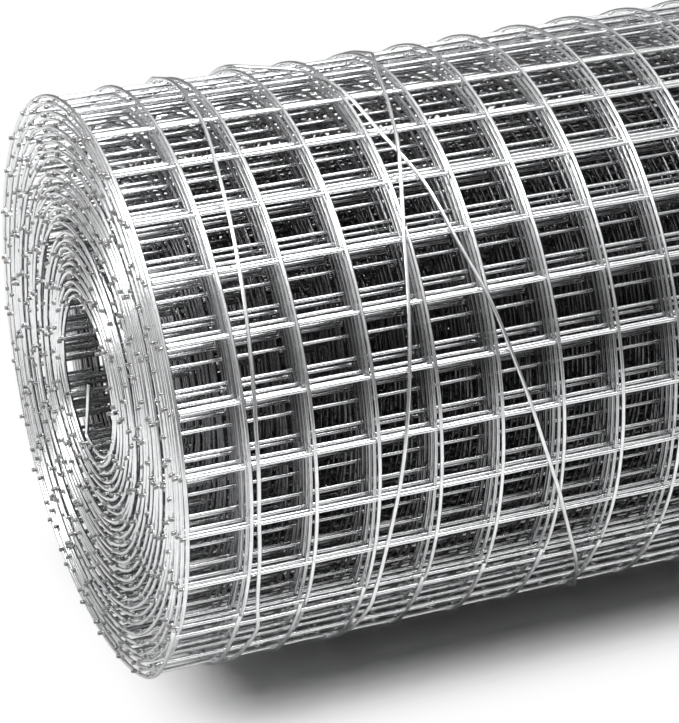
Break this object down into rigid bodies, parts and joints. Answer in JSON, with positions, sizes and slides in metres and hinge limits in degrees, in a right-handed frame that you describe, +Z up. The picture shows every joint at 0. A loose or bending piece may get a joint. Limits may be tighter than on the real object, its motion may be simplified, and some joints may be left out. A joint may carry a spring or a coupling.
{
  "type": "roll of welded wire mesh fencing",
  "caption": "Roll of galvanised square welded wire mesh lying on its side, with an open bore through its core and tie wires round it.",
  "frame": {"origin": "on the floor under the middle of the roll, which lies on its side", "axes": "+X along the roll's axis, from the near end that the picture shows to the far end; +Z up; -Y to the side that the picture shows"},
  "size_m": [0.6146, 0.2388, 0.2377],
  "materials": {
    "mesh_wire": "hot-dip galvanised steel wire, bright, lightly spangled",
    "tie_wire": "bright galvanised steel tie wire"
  },
  "bodies": {
    "root": {"mesh_roll": "mesh_wire", "tie_wire_1": "tie_wire", "tie_wire_2": "tie_wire", "tie_wire_3": "tie_wire"}
  },
  "joints": []
}
